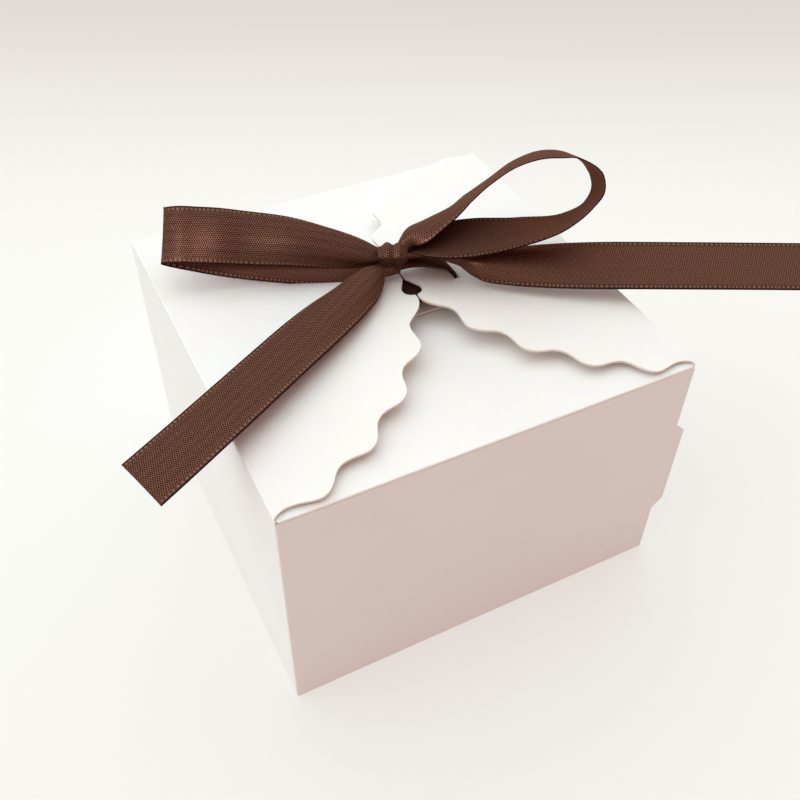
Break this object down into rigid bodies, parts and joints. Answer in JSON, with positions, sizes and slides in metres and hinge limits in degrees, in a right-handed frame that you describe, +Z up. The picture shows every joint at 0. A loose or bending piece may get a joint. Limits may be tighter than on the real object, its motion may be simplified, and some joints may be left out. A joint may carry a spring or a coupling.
{
  "type": "favor box",
  "caption": "Square white card favor box whose scalloped petal flaps fold shut on top and are held by a brown satin ribbon tied in a bow.",
  "frame": {"origin": "middle of the square base, on the underside that the box stands on", "axes": "+Z up, -Y towards the front wall, +X towards the right wall"},
  "size_m": [0.1662, 0.0925, 0.0885],
  "materials": {
    "card": "matte white coated card",
    "ribbon": "dark brown satin weave"
  },
  "bodies": {
    "carton": {"front_wall": "card", "left_wall": "card", "back_wall": "card", "right_wall": "card", "seam_wing": "card", "front_base_flap": "card", "left_base_flap": "card", "right_base_flap": "card", "back_base_flap": "card"},
    "left_flap": {"left_top_flap": "card"},
    "right_flap": {"right_top_flap": "card"},
    "front_flap": {"front_top_flap": "card"},
    "back_flap": {"back_top_flap": "card"},
    "ribbon": {"ribbon_strap": "ribbon", "bow_knot": "ribbon", "left_bow_loop": "ribbon", "right_bow_loop": "ribbon", "left_tail": "ribbon", "right_tail": "ribbon"}
  },
  "joints": [
    {"name": "ribbon_lift", "type": "slide", "parent": "carton", "child": "ribbon", "axis": [0, 0, 1], "range_m": [0, 0.16], "deforming": ["ribbon_strap"]},
    {"name": "left_flap_crease", "type": "hinge", "parent": "carton", "child": "left_flap", "pos_m": [-0.045, 0, 0.06], "axis": [0, -1, 0], "range_deg": [0, 190]},
    {"name": "right_flap_crease", "type": "hinge", "parent": "carton", "child": "right_flap", "pos_m": [0.045, 0, 0.06], "axis": [0, 1, 0], "range_deg": [0, 190]},
    {"name": "front_flap_crease", "type": "hinge", "parent": "carton", "child": "front_flap", "pos_m": [0, -0.045, 0.0594], "axis": [1, 0, 0], "range_deg": [0, 120]},
    {"name": "back_flap_crease", "type": "hinge", "parent": "carton", "child": "back_flap", "pos_m": [0, 0.045, 0.0594], "axis": [-1, 0, 0], "range_deg": [0, 138]}
  ],
  "couplings": [
    {"joint": "left_flap_crease", "follows": "ribbon_lift", "rad_per_m": 20.72},
    {"joint": "right_flap_crease", "follows": "ribbon_lift", "rad_per_m": 20.72},
    {"joint": "front_flap_crease", "follows": "ribbon_lift", "rad_per_m": 13.08},
    {"joint": "back_flap_crease", "follows": "ribbon_lift", "rad_per_m": 15.05}
  ]
}
